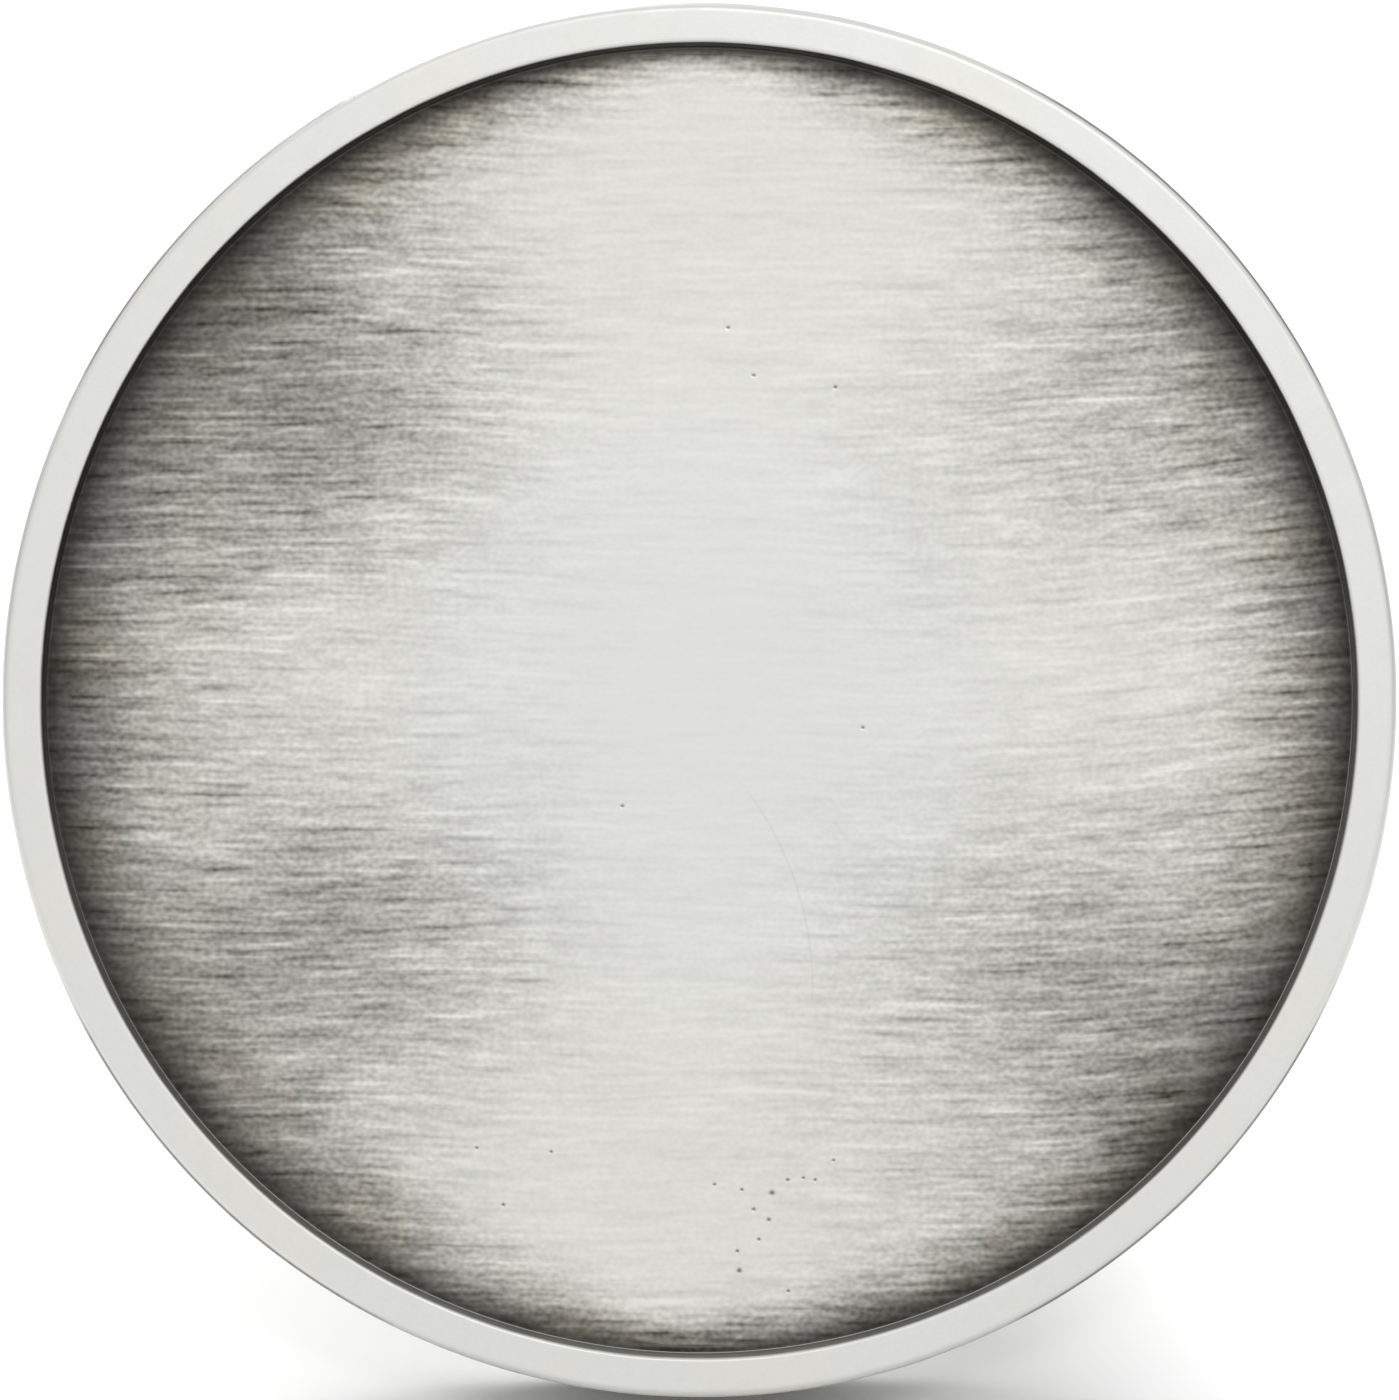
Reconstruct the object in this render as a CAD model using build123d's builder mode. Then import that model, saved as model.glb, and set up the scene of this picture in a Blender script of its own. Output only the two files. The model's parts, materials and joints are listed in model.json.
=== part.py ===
from build123d import *
import math
import os

# A round metal coin display frame that leans back on a folding easel leg.
# The front is a shallow round recess inside a narrow raised rim; a coin or a coin capsule lies in it.
# Millimetres. +Z is up, the front faces -Y, and the origin is under the middle of the object's box.

# ---- front: bezel ring and face plate ----
OUTER_D = 50.8  # two inches
RECESS_D = 47.9
RECESS_DEPTH = 1.6
RING_DEPTH = 5.6
FRONT_OUTER_ROUND = 0.3
FRONT_INNER_ROUND = 0.12
REAR_ROUND = 0.4
REAR_BEVEL = 0.15
SEAT_LEDGE = 0.3  # width of the ledge between the recess wall and the face plate
PLATE_GAP = 0.05
PLATE_THICKNESS = 1.0

# ---- the flange that the plate and the cover clamp between them ----
FLANGE_THICKNESS = 1.4
FLANGE_BORE_D = 43.0

# ---- rear cover and its screws (M1.6 countersunk) ----
COVER_D = 46.6
COVER_GAP = 0.1
COVER_THICKNESS = 1.2
COVER_BEVEL = 0.2
SCREW_COUNT = 4
SCREW_FIRST_ANGLE = 45
SCREW_CIRCLE_D = 36.0
SCREW_R = 0.8
SCREW_CLEARANCE_R = 0.9
SCREW_HEAD_R = 1.5
SCREW_LENGTH = 2.9
CROSS_LENGTH = 1.7
CROSS_WIDTH = 0.4
CROSS_DEPTH = 0.45
BOSS_R = 1.8
BOSS_SHORTFALL = 0.05  # the bosses stop this far short of the cover, so the flange takes the clamping
TAPPED_DEPTH = 1.85

# ---- foam pad in the space inside the flange ----
PAD_EDGE_GAP = 0.3
PAD_HOLE_GAP = 0.3

# ---- hinge ----
HINGE_UP = 8.0  # pivot above the middle of the face
SHEET = 0.8  # bracket sheet thickness
PIVOT_OVER_BASE = 2.0  # from the bracket's base to the pivot
EAR_INSIDE = 4.0  # from the middle to an ear's inner face
EAR_R = 2.2
BEND_R = 0.7
TONGUE_WIDTH = 6.4
TONGUE_LENGTH = 15.2
RIVET_SPACING = 10.8
RIVET_R = 0.7
RIVET_HEAD_R = 1.2
RIVET_HEAD_HEIGHT = 0.5
RIVET_HEAD_ROUND = 0.3
RIVET_TAIL_R = 1.1
RIVET_TAIL_HEIGHT = 0.4
PIN_R = 0.75
RUNNING_GAP = 0.05  # radial, between the pin and what turns on it
SIDE_PLAY = 0.05
PIN_HEAD_R = 1.3
PIN_HEAD_HEIGHT = 0.5
PIN_HEAD_ROUND = 0.25
PIN_TAIL = 0.8  # how far the pin passes the ear on its clip's side
PIN_CHAMFER = 0.15
GROOVE_R = 0.55
GROOVE_WIDTH = 0.3
CLIP_R = 1.4
CLIP_THICKNESS = 0.25
CLIP_MOUTH = 1.0
WASHER_R = 1.6
WASHER_THICKNESS = 0.4

# ---- easel leg and its foot ----
LEAN = 20.0  # degrees that the face leans back
OPENING = 35.0  # degrees between the leg and the face when the leg is on its stop
LEG_THICKNESS = 1.2
KNUCKLE_R = 1.6
STOP_GAP = 0.04
LEG_NECK = 3.2  # from the pivot to where the leg starts to widen
LEG_HALF_WIDTH = 6.9
LEG_SHOULDER = 8.0  # from the foot's sole centre up to where the leg is at its widest
LEG_CORNER_ROUND = 6.0
RIB_WIDTH = 2.6
RIB_HEIGHT = 0.4
RIB_START = 5.0
RIB_END_ABOVE_SOLE = 8.5
RIB_TAPER = 30  # degrees
TONGUE_HALF_WIDTH = 5.8
TONGUE_END = 0.4  # the leg's tongue ends this far above the sole's centre
SOLE_R = 1.3
FOOT_HALF_WIDTH = 7.2
FOOT_HEIGHT = 4.8
FOOT_TOP_ROUND = 0.4
FOOT_END_ROUND = 0.9

# ---- worked-out sizes ----
lean = math.radians(LEAN)
opening = math.radians(OPENING)
outer_r = OUTER_D / 2
recess_r = RECESS_D / 2
pocket_r = recess_r - SEAT_LEDGE
plate_r = pocket_r - PLATE_GAP
flange_bore_r = FLANGE_BORE_D / 2
cover_r = COVER_D / 2
cover_pocket_r = cover_r + COVER_GAP
screw_circle_r = SCREW_CIRCLE_D / 2

# depths behind the front land
plate_back = RECESS_DEPTH + PLATE_THICKNESS
cover_front = plate_back + FLANGE_THICKNESS
cover_back = cover_front + COVER_THICKNESS
boss_end = cover_front - BOSS_SHORTFALL
base_back = cover_back + SHEET
pivot_depth = base_back + PIVOT_OVER_BASE

ear_outside = EAR_INSIDE + SHEET
leg_half_at_hinge = EAR_INSIDE - WASHER_THICKNESS - SIDE_PLAY

# the ring stands on its rounded rear edge, and the sole of the foot reaches the same floor
face_height = (
    (outer_r - REAR_ROUND) * math.cos(lean) + (RING_DEPTH - REAR_ROUND) * math.sin(lean) + REAR_ROUND
)
leg_length = (
    face_height - SOLE_R + HINGE_UP * math.cos(lean) - pivot_depth * math.sin(lean)
) / math.cos(opening - lean)
rib_end = leg_length - RIB_END_ABOVE_SOLE  # distances along the leg are from the pivot

# the heel of the leg meets the bracket's base at the full opening
heel = (PIVOT_OVER_BASE - STOP_GAP - LEG_THICKNESS / 2 * math.cos(opening)) / math.sin(opening)

# the box's front is the ring's lower front edge, and its back is the sole of the foot
front_y = (
    -(outer_r - FRONT_OUTER_ROUND) * math.sin(lean)
    + FRONT_OUTER_ROUND * math.cos(lean)
    - FRONT_OUTER_ROUND
)
sole_up = HINGE_UP - leg_length * math.cos(opening)
sole_depth = pivot_depth + leg_length * math.sin(opening)
back_y = sole_up * math.sin(lean) + sole_depth * math.cos(lean) + SOLE_R
face_y = -(front_y + back_y) / 2

# FACE lies in the front land: y runs up the face and z is the depth behind it
FACE = Plane(
    origin=(0, face_y, face_height),
    x_dir=(-1, 0, 0),
    z_dir=(0, math.cos(lean), -math.sin(lean)),
)
FACE_AXIS = Axis(FACE.origin, FACE.z_dir)
# SECTION is the upright middle plane: x runs up the face and y is the depth behind the land
SECTION = Plane(FACE.origin, x_dir=FACE.y_dir, z_dir=FACE.x_dir)
pivot = FACE.from_local_coords(Vector(0, HINGE_UP, pivot_depth))
HINGE_SIDE = Plane(pivot, x_dir=FACE.y_dir, z_dir=FACE.x_dir)
BRACKET = Plane(
    FACE.from_local_coords(Vector(0, HINGE_UP, cover_back)), x_dir=FACE.x_dir, z_dir=FACE.z_dir
)
# LEG lies in the middle of the opened leg: y runs from the foot to the pivot, z faces away from the cover
splay = opening - lean
LEG = Plane(pivot, x_dir=(-1, 0, 0), z_dir=(0, math.cos(splay), math.sin(splay)))
LEG_SIDE = Plane(pivot, x_dir=LEG.y_dir, z_dir=LEG.x_dir)


def circles_at(solid, radius, plane):
    """The circular edges of that radius whose centres lie in the plane."""
    return [
        e
        for e in solid.edges().filter_by(GeomType.CIRCLE)
        if abs(e.radius - radius) < 1e-4 and abs(plane.to_local_coords(e.arc_center).Z) < 1e-4
    ]


# ---- bezel ring: a turned ring with a flange inside it ----
with BuildPart() as bezel_ring:
    with BuildSketch(SECTION):
        with BuildLine():
            Polyline(
                (recess_r, 0),
                (outer_r, 0),
                (outer_r, RING_DEPTH),
                (cover_pocket_r, RING_DEPTH),
                (cover_pocket_r, cover_front),
                (flange_bore_r, cover_front),
                (flange_bore_r, plate_back),
                (pocket_r, plate_back),
                (pocket_r, RECESS_DEPTH),
                (recess_r, RECESS_DEPTH),
                close=True,
            )
        make_face()
    revolve(axis=FACE_AXIS)
    ring_back = FACE.offset(RING_DEPTH)
    fillet(circles_at(bezel_ring.part, outer_r, FACE), radius=FRONT_OUTER_ROUND)
    fillet(circles_at(bezel_ring.part, recess_r, FACE), radius=FRONT_INNER_ROUND)
    fillet(circles_at(bezel_ring.part, outer_r, ring_back), radius=REAR_ROUND)
    chamfer(circles_at(bezel_ring.part, cover_pocket_r, ring_back), length=REAR_BEVEL)

# ---- face plate: the brushed floor of the recess, with four tapped bosses on its back ----
with BuildPart() as face_plate:
    with BuildSketch(FACE.offset(RECESS_DEPTH)):
        Circle(plate_r)
    extrude(amount=PLATE_THICKNESS)
    with BuildSketch(FACE.offset(plate_back)):
        with PolarLocations(screw_circle_r, SCREW_COUNT, SCREW_FIRST_ANGLE):
            Circle(BOSS_R)
    extrude(amount=boss_end - plate_back)
    with Locations(FACE.offset(boss_end)):
        with PolarLocations(screw_circle_r, SCREW_COUNT, SCREW_FIRST_ANGLE):
            Hole(SCREW_R, depth=TAPPED_DEPTH)

# ---- foam pad between the plate and the cover ----
with BuildPart() as foam_pad:
    with BuildSketch(FACE.offset(plate_back)):
        Circle(flange_bore_r - PAD_EDGE_GAP)
        with PolarLocations(screw_circle_r, SCREW_COUNT, SCREW_FIRST_ANGLE):
            Circle(BOSS_R + PAD_HOLE_GAP, mode=Mode.SUBTRACT)
        with Locations((0, HINGE_UP)):
            with GridLocations(0, RIVET_SPACING, 1, 2):
                Circle(RIVET_TAIL_R + PAD_HOLE_GAP, mode=Mode.SUBTRACT)
    extrude(amount=FLANGE_THICKNESS)

# ---- rear cover ----
with BuildPart() as rear_cover:
    with BuildSketch(FACE.offset(cover_front)):
        Circle(cover_r)
    extrude(amount=COVER_THICKNESS)
    chamfer(circles_at(rear_cover.part, cover_r, FACE.offset(cover_back)), length=COVER_BEVEL)
    with Locations(FACE.offset(cover_back)):
        with PolarLocations(screw_circle_r, SCREW_COUNT, SCREW_FIRST_ANGLE):
            CounterSinkHole(SCREW_CLEARANCE_R, SCREW_HEAD_R, counter_sink_angle=90)
        with Locations((0, HINGE_UP)):
            with GridLocations(0, RIVET_SPACING, 1, 2):
                Hole(RIVET_R)

# ---- cover screws: countersunk, with a cross recess ----
with BuildPart() as cover_screws:
    with Locations(FACE.offset(cover_back)):
        with PolarLocations(screw_circle_r, SCREW_COUNT, SCREW_FIRST_ANGLE):
            Cylinder(SCREW_R, SCREW_LENGTH, align=(Align.CENTER, Align.CENTER, Align.MAX))
            Cone(
                SCREW_R,
                SCREW_HEAD_R,
                SCREW_HEAD_R - SCREW_R,
                align=(Align.CENTER, Align.CENTER, Align.MAX),
            )
    with BuildSketch(FACE.offset(cover_back)):
        with PolarLocations(screw_circle_r, SCREW_COUNT, SCREW_FIRST_ANGLE):
            Rectangle(CROSS_LENGTH, CROSS_WIDTH)
            Rectangle(CROSS_WIDTH, CROSS_LENGTH)
    extrude(amount=-CROSS_DEPTH, mode=Mode.SUBTRACT)

# ---- hinge bracket: sheet metal, two ears bent up from a base with a rivet at each end ----
with BuildPart() as hinge_bracket:
    with BuildSketch(BRACKET):
        SlotOverall(TONGUE_LENGTH, TONGUE_WIDTH, rotation=90)
        Rectangle(2 * ear_outside, 2 * EAR_R)
    extrude(amount=SHEET)
    for inner in (EAR_INSIDE, -ear_outside):
        with BuildSketch(HINGE_SIDE.offset(inner)):
            Circle(EAR_R)
            with Locations((0, -(pivot_depth - cover_back) / 2)):
                Rectangle(2 * EAR_R, pivot_depth - cover_back)
        extrude(amount=SHEET)
    bends = [
        e
        for e in hinge_bracket.edges().filter_by(Axis(FACE.origin, FACE.y_dir))
        if abs(BRACKET.to_local_coords(e.center()).Z) < 1e-4
        and abs(abs(e.center().X) - ear_outside) < 1e-4
    ]
    fillet(bends, radius=BEND_R)
    with BuildSketch(HINGE_SIDE.offset(-ear_outside)):
        Circle(PIN_R)
    extrude(amount=2 * ear_outside, mode=Mode.SUBTRACT)
    with Locations(BRACKET.offset(SHEET)):
        with GridLocations(0, RIVET_SPACING, 1, 2):
            Hole(RIVET_R)

# ---- bracket rivets ----
with BuildPart() as bracket_rivets:
    with BuildSketch(BRACKET.offset(-COVER_THICKNESS)):
        with GridLocations(0, RIVET_SPACING, 1, 2):
            Circle(RIVET_R)
    extrude(amount=COVER_THICKNESS + SHEET)
    with BuildSketch(BRACKET.offset(SHEET)):
        with GridLocations(0, RIVET_SPACING, 1, 2):
            Circle(RIVET_HEAD_R)
    extrude(amount=RIVET_HEAD_HEIGHT)
    with BuildSketch(BRACKET.offset(-COVER_THICKNESS)):
        with GridLocations(0, RIVET_SPACING, 1, 2):
            Circle(RIVET_TAIL_R)
    extrude(amount=-RIVET_TAIL_HEIGHT)
    head_top = BRACKET.offset(SHEET + RIVET_HEAD_HEIGHT)
    fillet(circles_at(bracket_rivets.part, RIVET_HEAD_R, head_top), radius=RIVET_HEAD_ROUND)

# ---- hinge pin: a headed pin with a groove for its clip ----
with BuildPart() as hinge_pin:
    with BuildSketch(HINGE_SIDE.offset(-ear_outside)):
        Circle(PIN_R)
    extrude(amount=2 * ear_outside + PIN_TAIL)
    with BuildSketch(HINGE_SIDE.offset(-ear_outside)):
        Circle(PIN_HEAD_R)
    extrude(amount=-PIN_HEAD_HEIGHT)
    with BuildSketch(HINGE_SIDE.offset(ear_outside)):
        Circle(PIN_R)
        Circle(GROOVE_R, mode=Mode.SUBTRACT)
    extrude(amount=GROOVE_WIDTH, mode=Mode.SUBTRACT)
    pin_end = HINGE_SIDE.offset(ear_outside + PIN_TAIL)
    pin_head = HINGE_SIDE.offset(-ear_outside - PIN_HEAD_HEIGHT)
    chamfer(circles_at(hinge_pin.part, PIN_R, pin_end), length=PIN_CHAMFER)
    fillet(circles_at(hinge_pin.part, PIN_HEAD_R, pin_head), radius=PIN_HEAD_ROUND)

# ---- pin clip: a spring ring in the pin's groove, open at the back ----
with BuildPart() as pin_clip:
    with BuildSketch(HINGE_SIDE.offset(ear_outside)):
        Circle(CLIP_R)
        Circle(GROOVE_R, mode=Mode.SUBTRACT)
        with Locations((0, CLIP_R)):
            Rectangle(CLIP_MOUTH, 2 * CLIP_R, mode=Mode.SUBTRACT)
    extrude(amount=CLIP_THICKNESS)

# ---- hinge washers: one each side of the leg ----
with BuildPart() as hinge_washers:
    for inner in (EAR_INSIDE - WASHER_THICKNESS, -EAR_INSIDE):
        with BuildSketch(HINGE_SIDE.offset(inner)):
            Circle(WASHER_R)
            Circle(PIN_R + RUNNING_GAP, mode=Mode.SUBTRACT)
        extrude(amount=WASHER_THICKNESS)

# ---- easel leg: a tapered blade with a knuckle, a heel that stops it, and a stiffening rib ----
with BuildPart() as easel_leg:
    with BuildSketch(LEG) as leg_outline:
        with BuildLine():
            side = Polyline(
                (0, heel),
                (leg_half_at_hinge, heel),
                (leg_half_at_hinge, -LEG_NECK),
                (LEG_HALF_WIDTH, LEG_SHOULDER - leg_length),
                (LEG_HALF_WIDTH, FOOT_HEIGHT - leg_length),
                (TONGUE_HALF_WIDTH, FOOT_HEIGHT - leg_length),
                (TONGUE_HALF_WIDTH, TONGUE_END - leg_length),
                (0, TONGUE_END - leg_length),
            )
            mirror(side, about=Plane.YZ)
        make_face()
        waist = leg_outline.vertices().filter_by(
            lambda v: abs(v.Y + LEG_NECK) < 1e-4 or abs(v.Y - LEG_SHOULDER + leg_length) < 1e-4
        )
        fillet(waist, radius=LEG_CORNER_ROUND)
    extrude(amount=LEG_THICKNESS / 2, both=True)
    with BuildSketch(LEG.offset(LEG_THICKNESS / 2)):
        with Locations((0, -(RIB_START + rib_end) / 2)):
            SlotOverall(rib_end - RIB_START, RIB_WIDTH, rotation=90)
    extrude(amount=RIB_HEIGHT, taper=RIB_TAPER)
    with BuildSketch(LEG_SIDE.offset(-leg_half_at_hinge)):
        Circle(KNUCKLE_R)
    extrude(amount=2 * leg_half_at_hinge)
    with BuildSketch(LEG_SIDE.offset(-leg_half_at_hinge)):
        Circle(PIN_R + RUNNING_GAP)
    extrude(amount=2 * leg_half_at_hinge, mode=Mode.SUBTRACT)

# ---- leg foot: a rubber sleeve with a rounded sole, pushed over the leg's tongue ----
with BuildPart() as leg_foot:
    with BuildSketch(LEG_SIDE.offset(-FOOT_HALF_WIDTH)):
        with Locations((-leg_length, 0)):
            Circle(SOLE_R)
            Rectangle(FOOT_HEIGHT, 2 * SOLE_R, align=(Align.MIN, Align.CENTER))
    extrude(amount=2 * FOOT_HALF_WIDTH)
    foot_top = leg_foot.edges().filter_by(Axis.X).group_by(Axis(LEG.origin, LEG.y_dir))[-1]
    fillet(foot_top, radius=FOOT_TOP_ROUND)
    foot_sides = leg_foot.edges().filter_by(
        lambda e: abs(abs(e.center().X) - FOOT_HALF_WIDTH) < 1e-4
    )
    fillet(foot_sides, radius=FOOT_END_ROUND)
    with BuildSketch(LEG):
        with Locations((0, TONGUE_END - leg_length)):
            Rectangle(
                2 * TONGUE_HALF_WIDTH,
                FOOT_HEIGHT - TONGUE_END,
                align=(Align.CENTER, Align.MIN),
            )
    extrude(amount=LEG_THICKNESS / 2, both=True, mode=Mode.SUBTRACT)

parts = {
    "bezel_ring": bezel_ring,
    "face_plate": face_plate,
    "foam_pad": foam_pad,
    "rear_cover": rear_cover,
    "cover_screws": cover_screws,
    "hinge_bracket": hinge_bracket,
    "bracket_rivets": bracket_rivets,
    "hinge_pin": hinge_pin,
    "pin_clip": pin_clip,
    "hinge_washers": hinge_washers,
    "easel_leg": easel_leg,
    "leg_foot": leg_foot,
}

# each piece gets its label and its own file
os.makedirs("parts", exist_ok=True)
for name, piece in parts.items():
    piece.part.label = name
    export_step(piece.part, f"parts/{name}.step")
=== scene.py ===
import json
import math

import bmesh
import bpy
import numpy as np
from mathutils import Matrix, Vector


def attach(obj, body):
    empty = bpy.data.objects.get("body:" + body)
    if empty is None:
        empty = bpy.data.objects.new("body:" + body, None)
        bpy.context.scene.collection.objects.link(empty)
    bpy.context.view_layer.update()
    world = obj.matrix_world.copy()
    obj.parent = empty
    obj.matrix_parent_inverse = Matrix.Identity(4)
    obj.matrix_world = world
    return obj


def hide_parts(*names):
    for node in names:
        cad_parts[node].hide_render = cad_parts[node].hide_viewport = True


# A round antique-silver coin display frame on a folding easel leg, standing on a pale floor.
# Shapes are worked out in millimetres, in the axes of the face or of the leg, and stored in metres.

MM = 0.001
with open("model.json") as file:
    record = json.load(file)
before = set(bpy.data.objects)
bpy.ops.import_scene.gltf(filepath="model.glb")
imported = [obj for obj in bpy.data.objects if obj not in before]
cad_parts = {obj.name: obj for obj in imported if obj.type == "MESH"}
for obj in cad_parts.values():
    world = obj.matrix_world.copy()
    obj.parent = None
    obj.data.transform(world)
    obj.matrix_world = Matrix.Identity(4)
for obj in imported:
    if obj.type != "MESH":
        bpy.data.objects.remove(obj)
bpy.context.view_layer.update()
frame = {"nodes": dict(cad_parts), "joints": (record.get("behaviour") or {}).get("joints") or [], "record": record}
record = frame["record"]
mounts = {m["name"]: m for m in record["mounts"]}
BODY_OF = {node: body for body, nodes in record["behaviour"]["bodies"].items() for node in nodes}

# ---------------------------------------------------------------- places, from the frame
RIGHT = Vector((1, 0, 0))


def place(origin, front, right=RIGHT):
    """A matrix whose x is right, z is front and y completes them, at an origin in metres."""
    up = front.cross(right)
    return Matrix.Translation(origin) @ Matrix((right, up, front)).transposed().to_4x4()


def span(node, where):
    """Lowest and highest corner of a CAD node in the axes of a place, in millimetres."""
    back = where.inverted()
    points = np.array([back @ v.co for v in frame["nodes"][node].data.vertices]) / MM
    return Vector(points.min(0)), Vector(points.max(0))


# FACE lies in the plate's front: x right, y up the face, z out of the front
face_front = Vector(mounts["coin_seat"]["axis"]).normalized()
FACE = place(Vector(mounts["coin_seat"]["pos_m"]), face_front)

# LEG lies in the opened leg at its pivot: y runs from the foot to the pivot, z away from the cover
joint = frame["joints"][0]
pivot = Vector(joint["pos_m"])
lean = math.asin(face_front.z)
splay = math.radians(joint["range_deg"][1]) - lean
LEG = place(pivot, Vector((0, math.cos(splay), math.sin(splay))), -RIGHT)

# HINGE lies at the pivot: x right, y up the face, z out of the front
HINGE = place(pivot, face_front)

ring_low, ring_high = span("bezel_ring", FACE)
plate_high = span("face_plate", FACE)[1]
cover_high = span("rear_cover", FACE)[1]
leg_low, leg_high = span("easel_leg", LEG)
foot_low, foot_high = span("leg_foot", LEG)

OUTER_R = ring_high.x
RECESS_R = mounts["coin_recess"]["dims"]["r_mm"]
LAND = ring_high.z
RING_BACK = ring_low.z
PLATE_R = plate_high.x
COVER_R = cover_high.x
COVER_FRONT = cover_high.z
SCREW_CIRCLE_R = 18.0
SCREW_OFFSET = SCREW_CIRCLE_R * math.sqrt(0.5)  # the four screws stand at the corners of a square
SCREW_PLACES = [(sx * SCREW_OFFSET, sy * SCREW_OFFSET, 0) for sx in (-1, 1) for sy in (-1, 1)]
HINGE_UP = (FACE.inverted() @ pivot).y / MM

# the bracket's base and the leg's rib, where patina gathers beside them
BASE_HALF_WIDTH = 4.8
BASE_HALF_HEIGHT = 2.2
RIB_TOP = -5.0
RIB_BOTTOM = foot_low.y + 9.8
RIB_HALF_WIDTH = 1.2
RIB_MIDDLE = (RIB_TOP + RIB_BOTTOM) / 2
RIB_HALF_LENGTH = (RIB_TOP - RIB_BOTTOM) / 2
LEG_NARROW = 3.55  # half the leg's width below its knuckle


# ---------------------------------------------------------------- camera
CAMERA_DISTANCE = 0.21
CAMERA_MARGIN = 1.0025  # the picture's width against the ring's
SENSOR = 36


def make_camera():
    """Straight at the face, close enough for the recess wall to show as a thin line all round."""
    picture = 2 * OUTER_R * MM * CAMERA_MARGIN
    camera = bpy.data.cameras.new("camera")
    camera.sensor_width = SENSOR
    camera.lens = SENSOR * CAMERA_DISTANCE / picture
    camera.clip_start = 0.01
    camera.clip_end = 20
    holder = bpy.data.objects.new("camera", camera)
    bpy.context.scene.collection.objects.link(holder)
    holder.matrix_world = FACE @ Matrix.Translation((0, 0, LAND * MM + CAMERA_DISTANCE))
    bpy.context.scene.camera = holder


make_camera()


# ---------------------------------------------------------------- mesh tools
SHARP = math.radians(40)


def piece_from(name, points, faces, where, replaced, flatten=False):
    """A smooth mesh from points in millimetres, riding on its body in place of a CAD node.

    flatten joins the triangles of a flat face into one, which a bevel needs.
    """
    mesh = bpy.data.meshes.new(name)
    mesh.from_pydata((np.array(points) * MM).tolist(), [], faces)
    mesh.update()
    work = bmesh.new()
    work.from_mesh(mesh)
    bmesh.ops.remove_doubles(work, verts=work.verts, dist=1e-7)
    if flatten:
        bmesh.ops.dissolve_limit(
            work, angle_limit=math.radians(1), verts=work.verts, edges=work.edges
        )
    bmesh.ops.recalc_face_normals(work, faces=work.faces)
    for face in work.faces:
        face.smooth = True
    work.to_mesh(mesh)
    work.free()
    mesh.set_sharp_from_angle(angle=SHARP)
    made = bpy.data.objects.new(name, mesh)
    bpy.context.scene.collection.objects.link(made)
    made.matrix_world = where
    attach(made, BODY_OF[replaced])
    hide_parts(replaced)
    return made


def rounded(corners, steps=8, guard=0.2):
    """A closed outline with its corners rounded. Each corner is (x, y, radius).

    Guard points a little outside each arc keep the flats flat under smooth shading.
    """
    outline = []
    count = len(corners)
    for i, (x, y, radius) in enumerate(corners):
        here = Vector((x, y))
        before = (Vector(corners[i - 1][:2]) - here).normalized()
        after = (Vector(corners[(i + 1) % count][:2]) - here).normalized()
        if radius == 0:
            outline.append(here)
            continue
        half = before.angle(after) / 2
        reach = radius / math.tan(half)
        centre = here + (before + after).normalized() * radius / math.sin(half)
        start = here + before * reach - centre
        turn = start.angle_signed(here + after * reach - centre)
        outline.append(here + before * reach * (1 + guard))
        for k in range(steps + 1):
            angle = -turn * k / steps
            swung = Vector(
                (
                    start.x * math.cos(angle) - start.y * math.sin(angle),
                    start.x * math.sin(angle) + start.y * math.cos(angle),
                )
            )
            outline.append(centre + swung)
        outline.append(here + after * reach * (1 + guard))
    return [(p.x, p.y) for p in outline]


def split_long(outline, longest):
    """The closed outline with extra points so that no stretch is longer than that."""
    points = []
    for (x0, y0), (x1, y1) in zip(outline, outline[1:] + outline[:1]):
        parts = max(1, math.ceil(math.hypot(x1 - x0, y1 - y0) / longest))
        points += [(x0 + (x1 - x0) * k / parts, y0 + (y1 - y0) * k / parts) for k in range(parts)]
    return points


def lathe(outline, segments):
    """Points and faces of a closed outline of (radius, height) turned about z."""
    count = len(outline)
    points = []
    for s in range(segments):
        angle = 2 * math.pi * s / segments
        points += [(r * math.cos(angle), r * math.sin(angle), z) for r, z in outline]
    faces = []
    for s in range(segments):
        a, b = s * count, (s + 1) % segments * count
        for k in range(count):
            n = (k + 1) % count
            faces.append((a + k, b + k, b + n, a + n))
    return points, faces


def moved(shape, offset):
    """A (points, faces) shape shifted by an offset."""
    points, faces = shape
    return [tuple(np.add(p, offset)) for p in points], faces


def joined(*shapes):
    """Several (points, faces) shapes as one."""
    points, faces = [], []
    for some_points, some_faces in shapes:
        start = len(points)
        points += list(some_points)
        faces += [tuple(start + k for k in face) for face in some_faces]
    return points, faces


class Ripple:
    """Smooth noise from -1 to 1 on a plane, from a seeded lattice that repeats every SIZE steps.

    A whole number added to x or y only picks another stretch of it.
    """

    SIZE = 256

    def __init__(self, seed):
        self.lattice = np.random.default_rng(seed).uniform(-1, 1, (self.SIZE, self.SIZE))

    def at(self, i, j):
        return self.lattice[i % self.SIZE, j % self.SIZE]

    def __call__(self, x, y):
        x, y = np.asarray(x, float), np.asarray(y, float)
        i, j = np.floor(x).astype(int), np.floor(y).astype(int)
        fx, fy = x - i, y - j
        fx, fy = fx * fx * (3 - 2 * fx), fy * fy * (3 - 2 * fy)
        low = self.at(i, j) * (1 - fx) + self.at(i + 1, j) * fx
        high = self.at(i, j + 1) * (1 - fx) + self.at(i + 1, j + 1) * fx
        return low * (1 - fy) + high * fy


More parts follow.
